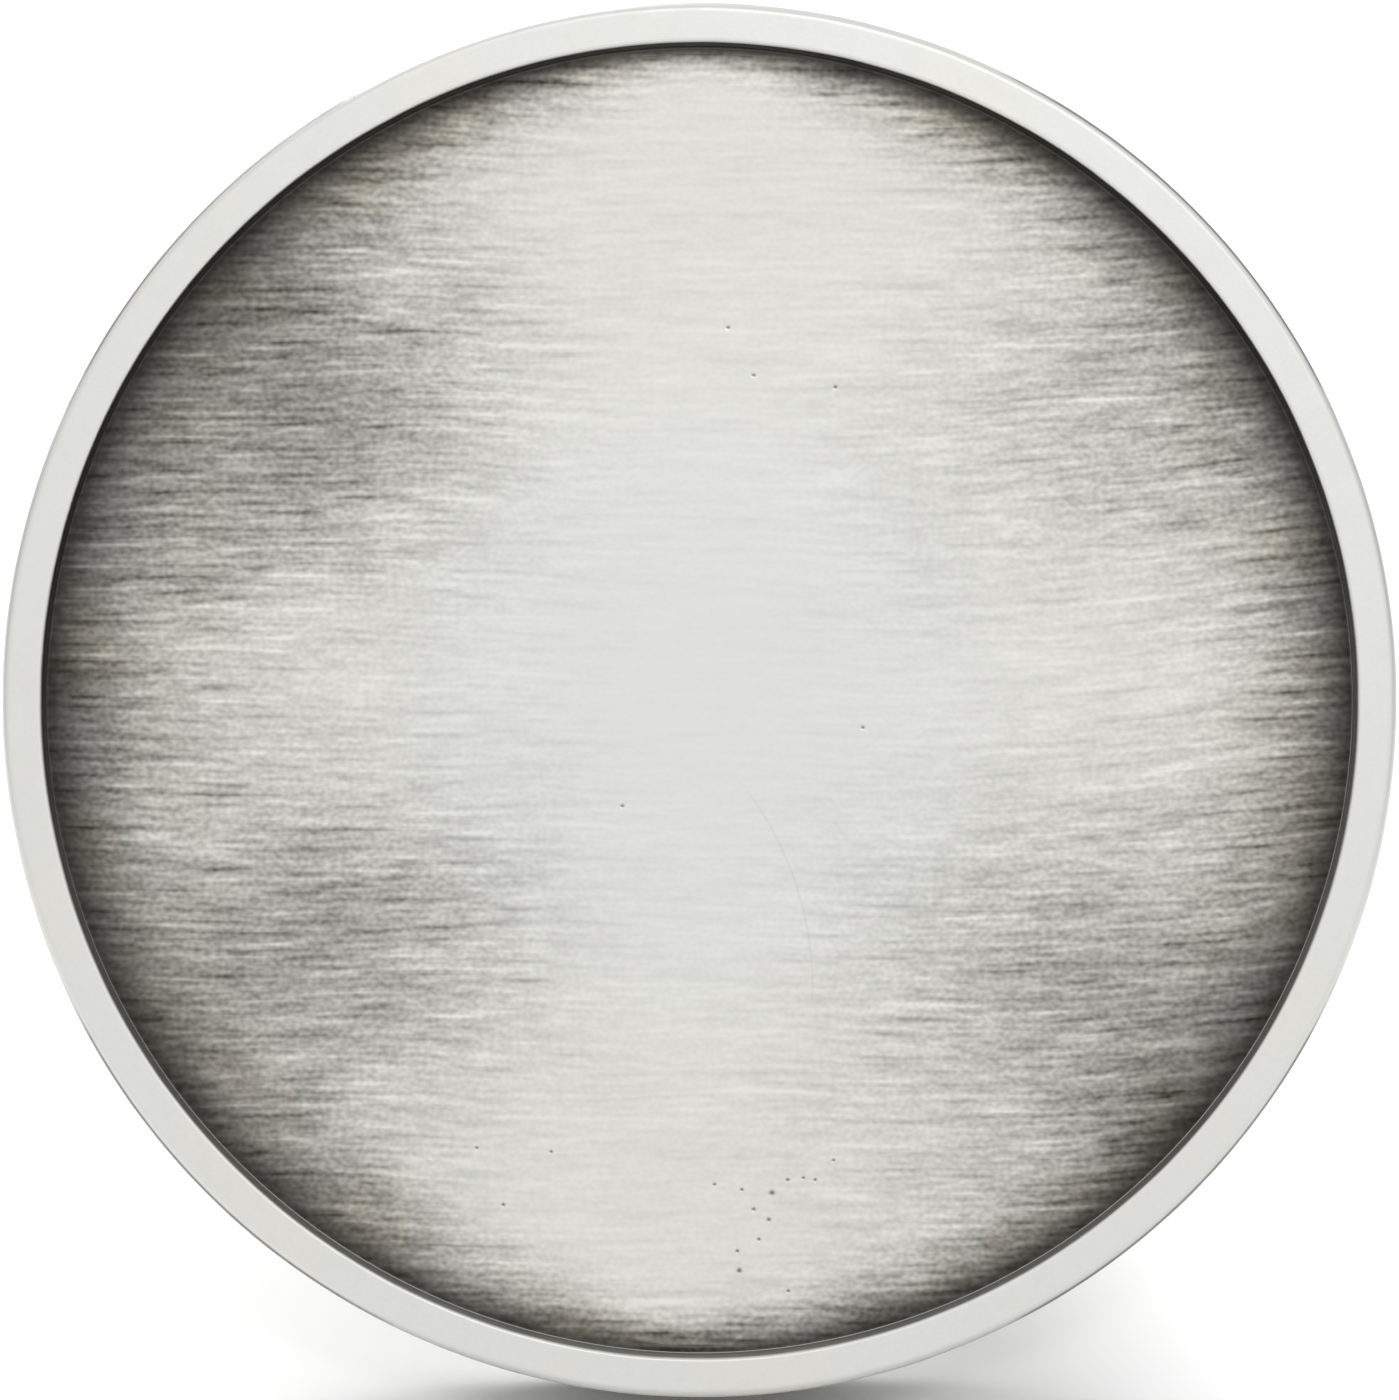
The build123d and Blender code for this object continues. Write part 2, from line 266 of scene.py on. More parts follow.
# ---------------------------------------------------------------- node tools
class Tree:
    """Short ways to make shader nodes. Inputs are sockets, numbers or tuples."""

    def __init__(self, owner):
        owner.use_nodes = True
        self.nodes = owner.node_tree.nodes
        self.links = owner.node_tree.links
        self.nodes.clear()

    def make(self, kind, inputs=None, **settings):
        node = self.nodes.new("ShaderNode" + kind)
        for name, value in settings.items():
            setattr(node, name, value)
        for name, value in (inputs or {}).items():
            socket = node.inputs[name]
            if isinstance(value, bpy.types.NodeSocket):
                self.links.new(value, socket)
            else:
                socket.default_value = value
        return node

    def math(self, operation, a, b=0.0, c=0.0, clamp=False):
        node = self.make("Math", {0: a, 1: b, 2: c}, operation=operation, use_clamp=clamp)
        return node.outputs[0]

    def add(self, a, b):
        return self.math("ADD", a, b)

    def sub(self, a, b):
        return self.math("SUBTRACT", a, b)

    def mul(self, a, b):
        return self.math("MULTIPLY", a, b)

    def fade(self, value, start, end, low=0.0, high=1.0):
        """Smooth step from low at start to high at end."""
        node = self.make(
            "MapRange",
            {"Value": value, "From Min": start, "From Max": end, "To Min": low, "To Max": high},
            interpolation_type="SMOOTHSTEP",
        )
        return node.outputs["Result"]

    def point(self, x, y, z=0.0):
        return self.make("CombineXYZ", {"X": x, "Y": y, "Z": z}).outputs[0]

    def noise(self, where, scale, detail=2.0, roughness=0.5):
        node = self.make(
            "TexNoise",
            {"Vector": where, "Scale": scale, "Detail": detail, "Roughness": roughness},
        )
        return node.outputs["Fac"]

    def mix(self, share, a, b):
        node = self.make("Mix", {0: share, 6: a, 7: b}, data_type="RGBA")
        return node.outputs[2]

    def object_millimetres(self):
        """The shading point in the piece's own axes, in millimetres."""
        where = self.make("TexCoord").outputs["Object"]
        return self.make("VectorMath", {0: where, 3: 1 / MM}, operation="SCALE").outputs[0]

    def split(self, vector):
        """The x, y and z of a vector."""
        parts = self.make("SeparateXYZ", {0: vector}).outputs
        return parts[0], parts[1], parts[2]

    def length(self, x, y):
        return self.math("SQRT", self.add(self.mul(x, x), self.mul(y, y)))

    def away_from(self, where, spot):
        """Distance from a fixed spot."""
        return self.make("VectorMath", {0: where, 1: spot}, operation="DISTANCE").outputs["Value"]

    def valued(self, value, colour):
        """A colour with its brightness multiplied."""
        return self.make("HueSaturation", {"Value": value, "Color": colour}).outputs[0]

    def surface(self, inputs, normal=None):
        shader = self.make("BsdfPrincipled", inputs)
        if normal is not None:
            self.links.new(normal, shader.inputs["Normal"])
        output = self.make("OutputMaterial")
        self.links.new(shader.outputs[0], output.inputs["Surface"])


SILVER = (0.625, 0.625, 0.612, 1)
SILVER_WARM = (0.63, 0.625, 0.590, 1)
FACE_COOL = (0.668, 0.668, 0.662, 1)
FACE_WARM = (0.68, 0.675, 0.638, 1)
# the patina colours, which also colour the painted shade in the recess corner and on the recess wall
PATINA_AND_SHADE = (0.034, 0.030, 0.023, 1)
DEEP_PATINA_AND_SHADE = (0.012, 0.011, 0.008, 1)
TARNISH_BROWN = (1.0, 0.955, 0.88, 1)
TARNISH_BLUE = (0.99, 0.99, 0.985, 1)
LIT_SIDE = math.radians(280)  # where the recess wall is painted lightest, as if lit from above: anticlockwise from the right
GRAIN = "grain"  # the UV map that carries the direction of the brushing


# ---------------------------------------------------------------- materials of the front
# On the face u is right and v is up, both in shares of the recess radius.
PATCHES = (
    # soft patches of patina: centre u and v, half widths in u and v, strength
    (-0.61, 0.46, 0.27, 0.28, 0.57),
    (-0.56, -0.38, 0.27, 0.25, 0.49),
    (0.60, -0.49, 0.31, 0.30, 0.47),
    (0.62, 0.42, 0.28, 0.23, 0.26),
)
SCRATCH_CENTRE = (-0.33, -0.44, 0)
SCRATCH_RADIUS = 0.503


def brushed_face_nodes(tree):
    """The floor of the recess: brushed across, with patina by the wall and in four soft patches, and a painted
    shadow of the rim at the top.
    """
    x, y, _ = tree.split(tree.object_millimetres())
    u = tree.math("DIVIDE", x, RECESS_R)
    v = tree.math("DIVIDE", y, RECESS_R)
    radius = tree.length(u, v)

    # the brush lines dip a little on the left and rise towards the right
    right_part = tree.math("MAXIMUM", tree.sub(u, 0.1), 0.0)
    bend = tree.sub(tree.mul(tree.mul(right_part, right_part), 0.085), tree.mul(u, 0.02))
    wander = tree.mul(tree.sub(tree.noise(tree.point(u, v, 3.0), 1.6, 1.0), 0.5), 0.05)
    across = tree.sub(tree.sub(v, bend), wander)

    def streaks(along, over, seed, detail):
        """Noise drawn out along the brush lines. along and over are its steps per recess radius."""
        where = tree.point(tree.mul(u, along), tree.mul(across, over), seed)
        return tree.sub(tree.noise(where, 1.0, detail, 0.6), 0.5)

    # the long lines are peaky: mostly faint, a few of them strong
    long_lines = streaks(7.5, 112.0, 1.7, 0.3)
    sharper = tree.add(0.5, tree.mul(tree.math("ABSOLUTE", long_lines), 4.0))
    long_lines = tree.mul(long_lines, sharper)

    short_lines = streaks(26.0, 118.0, 5.2, 0.5)
    bands = streaks(2.2, 19.0, 9.4, 3.0)
    grit = tree.noise(tree.point(tree.mul(u, 115), tree.mul(v, 140), 2.2), 1.0, 0.0)
    grit = tree.sub(grit, 0.5)
    cloud = tree.sub(tree.noise(tree.point(u, v, 7.7), 2.6, 3.0, 0.55), 0.5)
    tint = tree.sub(tree.noise(tree.point(u, v, 12.4), 5.0, 3.0, 0.55), 0.5)

    # patina by the wall: wide at the sides, narrow at top and bottom
    sideways = tree.math("DIVIDE", tree.math("ABSOLUTE", u), tree.math("MAXIMUM", radius, 0.001))
    from_left = tree.fade(u, -0.5, 0.5, 0.146, 0.113)
    from_left = tree.mul(from_left, tree.fade(v, -0.9, 0.0, 0.82, 1.0))
    low_edge = tree.fade(v, -1.0, 0.2, 0.036, 0.022)
    width = tree.add(low_edge, tree.mul(tree.math("POWER", sideways, 1.15), from_left))
    width = tree.mul(width, tree.add(1.0, tree.mul(cloud, 0.6)))
    width = tree.mul(width, tree.add(1.0, tree.mul(bands, 0.5)))
    inward = tree.math("MAXIMUM", tree.sub(1.0, radius), 0.0)
    fall = tree.math("POWER", tree.math("DIVIDE", inward, width), 1.3)
    by_wall = tree.math("EXPONENT", tree.mul(fall, -1.0))

    # the corner under the wall is nearly black with patina all round, and a painted shadow of the rim makes it
    # widest at the top
    rim_shadow_share = tree.fade(tree.math("DIVIDE", v, tree.math("MAXIMUM", radius, 0.001)), 0.2, 1.0)
    corner_width = tree.add(0.016, tree.mul(rim_shadow_share, 0.006))
    corner_width = tree.mul(corner_width, tree.add(1.0, tree.mul(cloud, 0.8)))
    corner = tree.fade(tree.math("DIVIDE", inward, corner_width), 0.0, 1.0, 0.97, 0.0)

    lighter = tree.sub(1.0, tree.mul(by_wall, 0.95))
    for cu, cv, wu, wv, strength in PATCHES:
        du = tree.math("DIVIDE", tree.sub(tree.add(u, tree.mul(cloud, 0.25)), cu), wu)
        dv = tree.math("DIVIDE", tree.sub(tree.add(across, tree.mul(cloud, 0.3)), cv), wv)
        spread = tree.add(tree.mul(du, du), tree.mul(dv, dv))
        patch = tree.mul(tree.math("EXPONENT", tree.mul(spread, -1.0)), strength)
        lighter = tree.mul(lighter, tree.sub(1.0, patch))
    dark = tree.sub(1.0, lighter)

    # the patina stays in the brush lines, so it breaks into streaks where it is half worn off
    lines = tree.add(tree.mul(long_lines, 0.50), tree.mul(short_lines, 0.42))
    lines = tree.add(lines, tree.add(tree.mul(bands, 0.18), tree.mul(grit, 0.36)))
    left = tree.sub(1.0, dark)
    half = tree.mul(dark, tree.mul(left, tree.add(0.5, tree.mul(left, 0.5))))
    hold = tree.add(0.02, tree.mul(half, 4.7))
    dark = tree.math("ADD", dark, tree.mul(lines, hold), clamp=True)
    dark = tree.math("MAXIMUM", dark, corner)

    # a hair-thin curved scratch right of the middle
    from_centre = tree.away_from(tree.point(u, v), SCRATCH_CENTRE)
    off_line = tree.math("ABSOLUTE", tree.sub(from_centre, SCRATCH_RADIUS))
    scratch = tree.fade(off_line, 0.0006, 0.0024, 1.0, 0.0)
    scratch = tree.mul(scratch, tree.fade(v, -0.50, -0.42))
    scratch = tree.mul(scratch, tree.fade(v, -0.18, -0.10, 1.0, 0.0))
    scratch = tree.mul(scratch, tree.fade(u, 0.0, 0.05))

    dirt = tree.make("Attribute", attribute_name="dirt").outputs["Fac"]
    dark = tree.math("MAXIMUM", dark, tree.mul(dirt, 0.8))
    dark = tree.math("ADD", dark, tree.mul(scratch, 0.07), clamp=True)

    # the silver is cooler in the middle, and a little darker towards the top and the bottom
    warm = tree.fade(radius, 0.1, 0.6)
    silver = tree.mix(warm, FACE_COOL, FACE_WARM)
    shine = tree.sub(1.0, tree.mul(lines, tree.fade(radius, 0.05, 0.65, 0.06, 0.22)))
    shine = tree.mul(shine, tree.fade(v, 0.3, 0.9, 1.0, 0.93))
    shine = tree.mul(shine, tree.fade(v, -0.3, -0.7, 1.0, 0.97))
    silver = tree.valued(shine, silver)
    colour = tree.mix(dark, silver, PATINA_AND_SHADE)

    # where the patina by the wall is half worn off, it is tinted brown in places
    tarnish = tree.mix(tree.fade(tint, -0.12, 0.12), TARNISH_BROWN, TARNISH_BLUE)
    half_worn = tree.mul(tree.mul(by_wall, by_wall), tree.mul(tree.sub(1.0, by_wall), 6.75))
    colour = tree.make(
        "Mix", {0: half_worn, 6: colour, 7: tarnish}, data_type="RGBA", blend_type="MULTIPLY"
    ).outputs[2]

    height = tree.add(tree.mul(long_lines, 0.5), tree.mul(short_lines, 0.5))
    height = tree.add(height, tree.mul(grit, 0.25))
    bump = tree.make("Bump", {"Strength": 0.5, "Distance": 0.000004, "Height": height})
    rough = tree.add(tree.fade(dark, 0.0, 0.8, 0.36, 0.55), tree.mul(lines, 0.08))
    return colour, rough, bump.outputs["Normal"]


def brushed_face():
    material = bpy.data.materials.new("brushed_silver")
    tree = Tree(material)
    colour, rough, normal = brushed_face_nodes(tree)
    tangent = tree.make("Tangent", direction_type="UV_MAP", uv_map=GRAIN)
    tree.surface(
        {
            "Base Color": colour,
            "Roughness": rough,
            "Metallic": 1.0,
            "Anisotropic": 0.55,
            "Tangent": tangent.outputs[0],
        },
        normal,
    )
    return material


def silver_finish(tree, scaled, dark):
    """Satin silver under a mottled dark patina. dark is the patina's share, from 0 to 1."""
    fine = tree.sub(tree.noise(scaled, 9.0, 3.0, 0.7), 0.5)
    broad = tree.sub(tree.noise(scaled, 0.16, 3.0, 0.55), 0.5)
    mottle = tree.sub(tree.noise(scaled, 1.1, 4.0, 0.6), 0.5)
    dark = tree.math("ADD", dark, tree.mul(mottle, 0.10), clamp=True)
    tint = tree.mix(tree.fade(broad, -0.2, 0.2), SILVER, SILVER_WARM)
    grey = tree.valued(tree.add(1.0, tree.mul(fine, 0.10)), tint)
    colour = tree.mix(dark, grey, PATINA_AND_SHADE)
    bump = tree.make(
        "Bump",
        {"Strength": 0.35, "Distance": 0.000006, "Height": tree.add(fine, tree.mul(mottle, 0.6))},
    )
    rough = tree.add(tree.fade(dark, 0.0, 1.0, 0.40, 0.60), tree.mul(mottle, 0.12))
    return colour, rough, bump.outputs["Normal"]


def antique_ring():
    """The rim: satin silver, rubbed bright on its edges, dark on the walls with patina and painted shade."""
    material = bpy.data.materials.new("antique_silver_ring")
    tree = Tree(material)
    scaled = tree.object_millimetres()
    x, y, z = tree.split(scaled)
    radius = tree.length(x, y)
    mottle = tree.sub(tree.noise(scaled, 0.7, 4.0, 0.6), 0.5)
    below = tree.sub(LAND, z)

    # the recess wall is dark with patina, and painted nearly black at the top and lighter towards the bottom, as
    # if lit from above
    lit_way = Vector((math.cos(LIT_SIDE), math.sin(LIT_SIDE)))
    facing = tree.add(tree.mul(x, lit_way.x), tree.mul(y, lit_way.y))
    facing = tree.math("DIVIDE", facing, RECESS_R)
    lit_share = tree.fade(tree.add(facing, tree.mul(mottle, 0.3)), -0.45, 0.80)
    inner = tree.fade(radius, RECESS_R + 0.055, RECESS_R + 0.01)
    inner = tree.mul(inner, tree.fade(z, RING_BACK + 2.4, RING_BACK + 2.6))
    deep = tree.fade(below, 0.05, 0.40)
    blended = tree.fade(below, 0.5, 1.5, 0.97, 0.93)
    inner = tree.mul(tree.mul(inner, deep), tree.sub(blended, tree.mul(lit_share, 0.62)))

    # turned lines run round the outer side, and its patina thins out towards both edges
    around = tree.point(tree.mul(x, 0.25), tree.mul(y, 0.25), tree.mul(z, 7.0))
    turned = tree.sub(tree.noise(around, 1.0, 4.0, 0.7), 0.5)
    ragged = tree.add(tree.mul(mottle, 0.5), tree.mul(turned, 0.6))
    outer = tree.fade(tree.add(below, ragged), 0.2, 1.3)
    outer = tree.mul(outer, tree.fade(radius, OUTER_R - 0.25, OUTER_R - 0.08))
    from_rear = tree.add(tree.sub(z, RING_BACK), ragged)
    outer = tree.mul(outer, tree.fade(from_rear, 0.1, 1.1, 0.04, 0.60))
    outer = tree.mul(outer, tree.add(1.0, tree.mul(turned, 1.6)))

    # a thin dark line runs along the front edge on the four diagonals
    diagonal = tree.math("DIVIDE", tree.mul(x, y), tree.mul(radius, radius))
    diagonal = tree.add(tree.mul(tree.math("ABSOLUTE", diagonal), 2.0), tree.mul(mottle, 0.2))
    edge_line = tree.fade(radius, OUTER_R - 0.15, OUTER_R - 0.07)
    edge_line = tree.mul(edge_line, tree.fade(diagonal, 0.72, 0.90))
    edge_line = tree.mul(edge_line, tree.fade(from_rear, 0.5, 1.5, 0.0, 0.62))
    outer = tree.math("MAXIMUM", outer, edge_line)

    # the rear face is speckled, and darkest beside the cover
    behind = tree.fade(z, RING_BACK + 0.25, RING_BACK + 0.02)
    speckle = tree.fade(mottle, 0.02, 0.22, 0.04, 0.36)
    groove = tree.fade(tree.sub(radius, COVER_R), 0.15, 0.75, 0.6, 0.0)
    outer = tree.math("MAXIMUM", outer, tree.mul(behind, tree.math("MAXIMUM", speckle, groove)))

    dark = tree.math("MAXIMUM", inner, outer)
    colour, rough, normal = silver_finish(tree, scaled, dark)
    # patina and painted shade darken the wall further just under the land and in the bottom corner, least on the
    # side painted as lit
    black = tree.add(tree.fade(below, 0.4, 1.1, 0.7, 0.0), tree.fade(below, 1.44, 1.52, 0.0, 0.45))
    black = tree.mul(tree.mul(inner, inner), black)
    colour = tree.mix(black, colour, DEEP_PATINA_AND_SHADE)
    tree.surface({"Base Color": colour, "Roughness": rough, "Metallic": 1.0}, normal)
    return material


# ---------------------------------------------------------------- materials of the back
def turned_cover():
    """The rear cover: fine turned rings, darker by its edge, its screws and the bracket."""
    material = bpy.data.materials.new("antique_silver_cover")
    tree = Tree(material)
    scaled = tree.object_millimetres()
    x, y, _ = tree.split(scaled)
    radius = tree.length(x, y)
    rings = tree.sub(tree.noise(tree.point(tree.mul(radius, 6.5), 0.0, 4.0), 1.0, 4.0, 0.75), 0.5)
    broad_rings = tree.sub(tree.noise(tree.point(tree.mul(radius, 0.9), 0.0, 8.0), 1.0, 2.0), 0.5)
    cloud = tree.sub(tree.noise(scaled, 0.12, 4.0, 0.6), 0.5)

    edge = tree.fade(tree.sub(COVER_R, radius), 0.1, 3.2, 0.75, 0.0)
    dark = tree.math("MAXIMUM", edge, tree.fade(radius, 4.0, 15.0, 0.22, 0.05))
    for spot in SCREW_PLACES:
        away = tree.sub(tree.away_from(tree.point(x, y), spot), tree.mul(cloud, 2.2))
        dark = tree.math("MAXIMUM", dark, tree.fade(away, 1.45, 2.7, 0.7, 0.0))
    flat = tree.math("MAXIMUM", tree.sub(tree.math("ABSOLUTE", x), BASE_HALF_WIDTH), 0.0)
    tall = tree.sub(tree.math("ABSOLUTE", tree.sub(y, HINGE_UP)), BASE_HALF_HEIGHT)
    tall = tree.math("MAXIMUM", tall, 0.0)
    away = tree.sub(tree.length(flat, tall), tree.mul(cloud, 2.0))
    dark = tree.math("MAXIMUM", dark, tree.fade(away, -0.1, 1.7, 0.7, 0.0))
    dark = tree.add(dark, tree.mul(cloud, 0.55))
    left = tree.sub(1.0, dark)
    hold = tree.add(0.14, tree.mul(tree.mul(dark, left), 1.3))
    dark = tree.math("ADD", dark, tree.mul(tree.add(rings, broad_rings), hold), clamp=True)

    colour, rough, normal = silver_finish(tree, scaled, dark)
    bump = tree.make(
        "Bump", {"Strength": 0.6, "Distance": 0.000010, "Height": rings, "Normal": normal}
    )
    tangent = tree.make("Tangent", direction_type="RADIAL", axis="Z")
    tree.surface(
        {
            "Base Color": colour,
            "Roughness": rough,
            "Metallic": 1.0,
            "Anisotropic": 0.6,
            "Tangent": tangent.outputs[0],
        },
        bump.outputs["Normal"],
    )
    return material


def leg_silver():
    """The leg: brushed lengthwise, with patina along its rib, its outline and its knuckle."""
    material = bpy.data.materials.new("antique_silver_leg")
    tree = Tree(material)
    scaled = tree.object_millimetres()
    x, y, z = tree.split(scaled)
    aside = tree.math("ABSOLUTE", x)
    lengthwise = tree.point(tree.mul(x, 7.0), tree.mul(y, 0.35), tree.mul(z, 7.0))
    lines = tree.sub(tree.noise(lengthwise, 1.0, 3.0, 0.65), 0.5)
    cloud = tree.sub(tree.noise(scaled, 0.22, 4.0, 0.6), 0.5)

    half_width = tree.math(
        "MULTIPLY_ADD", tree.fade(y, leg_low.y + 8.0, -3.0), LEG_NARROW - leg_high.x, leg_high.x
    )
    edge = tree.fade(tree.sub(half_width, aside), 0.2, 2.0, 0.5, 0.0)
    past_end = tree.math("ABSOLUTE", tree.sub(y, RIB_MIDDLE))
    past_end = tree.sub(past_end, RIB_HALF_LENGTH - RIB_HALF_WIDTH)
    from_spine = tree.length(x, tree.math("MAXIMUM", past_end, 0.0))
    beside_rib = tree.math("ABSOLUTE", tree.sub(from_spine, RIB_HALF_WIDTH))
    beside_rib = tree.sub(beside_rib, tree.mul(cloud, 0.8))
    rib = tree.mul(tree.fade(beside_rib, 0.0, 0.65, 0.78, 0.0), tree.fade(z, 0.0, 0.3))
    knuckle = tree.fade(y, -4.5, -1.7, 0.0, 0.75)
    by_foot = tree.fade(y, foot_high.y, foot_high.y + 1.6, 0.75, 0.0)
    dark = tree.math("MAXIMUM", tree.math("MAXIMUM", edge, rib), tree.math("MAXIMUM", knuckle, by_foot))
    dark = tree.add(dark, tree.add(0.06, tree.mul(cloud, 0.5)))
    hold = tree.add(0.12, tree.mul(tree.mul(dark, tree.sub(1.0, dark)), 1.4))
    dark = tree.math("ADD", dark, tree.mul(lines, hold), clamp=True)

    colour, rough, normal = silver_finish(tree, scaled, dark)
    bump = tree.make(
        "Bump", {"Strength": 0.5, "Distance": 0.000010, "Height": lines, "Normal": normal}
    )
    tree.surface(
        {"Base Color": colour, "Roughness": rough, "Metallic": 1.0}, bump.outputs["Normal"]
    )
    return material


def worn_edge(name, colour, patches, roughness=0.3):
    """The polished edge of a worn part, broken by what is left of its darker finish."""
    material = bpy.data.materials.new(name)
    tree = Tree(material)
    scaled = tree.object_millimetres()
    left_over = tree.fade(tree.noise(scaled, 0.9, 5.0, 0.7), 0.44, 0.64, 0.05, 0.8)
    fine = tree.sub(tree.noise(scaled, 12.0, 2.0, 0.6), 0.5)
    bump = tree.make("Bump", {"Strength": 0.3, "Distance": 0.000005, "Height": fine})
    rough = tree.add(tree.mul(left_over, 0.3), tree.add(roughness, tree.mul(fine, 0.1)))
    tree.surface(
        {"Base Color": tree.mix(left_over, colour, patches), "Roughness": rough, "Metallic": 1.0},
        bump.outputs["Normal"],
    )
    return material


def plated_steel(name, colour, roughness, grain):
    """Plated steel with a fine grain along one axis. grain is the lines per millimetre on x, y, z."""
    material = bpy.data.materials.new(name)
    tree = Tree(material)
    scaled = tree.object_millimetres()
    stretched = tree.make("VectorMath", {0: scaled, 1: grain}, operation="MULTIPLY").outputs[0]
    lines = tree.sub(tree.noise(stretched, 1.0, 3.0, 0.6), 0.5)
    cloud = tree.sub(tree.noise(scaled, 0.6, 4.0, 0.6), 0.5)
    specks = tree.fade(tree.noise(scaled, 5.0, 3.0, 0.6), 0.66, 0.74, 0.0, 0.5)
    shade = tree.add(1.0, tree.add(tree.mul(cloud, 0.35), tree.mul(lines, 0.22)))
    dulled = tree.mix(specks, tree.valued(shade, colour), (0.10, 0.09, 0.08, 1))
    rough = tree.add(roughness, tree.add(tree.mul(cloud, 0.25), tree.mul(specks, 0.25)))
    bump = tree.make("Bump", {"Strength": 0.5, "Distance": 0.000006, "Height": lines})
    tree.surface(
        {"Base Color": dulled, "Roughness": rough, "Metallic": 1.0}, bump.outputs["Normal"]
    )
    return material


def nylon():
    """Natural nylon: milky, with a fine moulded grain."""
    material = bpy.data.materials.new("natural_nylon")
    tree = Tree(material)
    scaled = tree.object_millimetres()
    cloud = tree.noise(scaled, 0.8, 3.0, 0.55)
    grain = tree.noise(scaled, 11.0, 2.0, 0.6)
    colour = tree.mix(cloud, (0.80, 0.78, 0.70, 1), (0.88, 0.86, 0.80, 1))
    bump = tree.make("Bump", {"Strength": 0.25, "Distance": 0.00001, "Height": grain})
    rough = tree.fade(grain, 0.2, 0.8, 0.38, 0.52)
    tree.surface(
        {
            "Base Color": colour,
            "Roughness": rough,
            "Subsurface Weight": 0.15,
            "Subsurface Scale": 0.0006,
        },
        bump.outputs["Normal"],
    )
    return material


def rubber():
    """Black moulded rubber: fine spark grain, a little dust in it."""
    material = bpy.data.materials.new("black_rubber")
    tree = Tree(material)
    scaled = tree.object_millimetres()
    grain = tree.noise(scaled, 7.0, 3.0, 0.65)
    cloud = tree.noise(scaled, 0.5, 4.0, 0.6)
    dust = tree.mul(tree.fade(cloud, 0.45, 0.75), tree.fade(grain, 0.45, 0.65))
    colour = tree.mix(dust, (0.020, 0.020, 0.021, 1), (0.075, 0.073, 0.070, 1))
    rough = tree.add(0.55, tree.mul(dust, 0.3))
    bump = tree.make("Bump", {"Strength": 0.6, "Distance": 0.00003, "Height": grain})
    tree.surface({"Base Color": colour, "Roughness": rough}, bump.outputs["Normal"])
    return material


def foam():
    """Closed-cell foam: small round cells in a charcoal skin."""
    material = bpy.data.materials.new("charcoal_foam")
    tree = Tree(material)
    scaled = tree.object_millimetres()
    cells = tree.make("TexVoronoi", {"Vector": scaled, "Scale": 4.0, "Randomness": 0.9})
    edge = tree.fade(cells.outputs["Distance"], 0.0, 0.7)
    cloud = tree.noise(scaled, 0.3, 3.0, 0.55)
    colour = tree.mix(edge, (0.030, 0.031, 0.034, 1), (0.085, 0.087, 0.092, 1))
    colour = tree.mix(tree.mul(cloud, 0.4), colour, (0.05, 0.05, 0.055, 1))
    bump = tree.make("Bump", {"Strength": 0.8, "Distance": 0.00008, "Height": edge})
    tree.surface({"Base Color": colour, "Roughness": 0.88}, bump.outputs["Normal"])
    return material


# ---------------------------------------------------------------- ring and plate
PLATE_GAP = 0.05
FACE_EDGE = PLATE_R + PLATE_GAP  # where the plate's brushed face runs on into the ring's ledge
PLATE_BACK = -1.0
PIT_DEPTH = 0.03
PIT_FLOOR = -0.1  # pits go into what lies above this height, the front of the plate
PITS = (
    # small casting pits in the face: right, up, radius, in shares of the recess radius
    (0.023, -0.741, 0.0026),
    (0.065, -0.749, 0.0027),
    (0.111, -0.754, 0.0042),
    (0.135, -0.734, 0.0030),
    (0.159, -0.731, 0.0026),
    (0.177, -0.734, 0.0027),
    (0.083, -0.779, 0.0029),
    (0.106, -0.795, 0.0032),
    (0.091, -0.825, 0.0027),
    (0.061, -0.873, 0.0040),
    (0.058, -0.843, 0.0027),
    (0.205, -0.704, 0.0026),
    (0.136, -0.904, 0.0028),
    (-0.118, -0.162, 0.0028),
    (0.250, -0.042, 0.0027),
    (0.044, 0.570, 0.0026),
    (0.208, 0.479, 0.0030),
    (0.083, 0.497, 0.0026),
    (-0.227, -0.691, 0.0027),
    (-0.300, -0.772, 0.0029),
    (-0.341, -0.685, 0.0026),
)


def grain_map(piece):
    """A UV map that lies flat on the face, so that its tangent runs along the brush lines."""
    grain = piece.data.uv_layers.new(name=GRAIN)
    co = np.array([v.co for v in piece.data.vertices])
    corners = np.array([corner.vertex_index for corner in piece.data.loops])
    flat = co[corners][:, :2] / (2 * OUTER_R * MM) + 0.5
    grain.data.foreach_set("uv", flat.astype(np.float32).ravel())


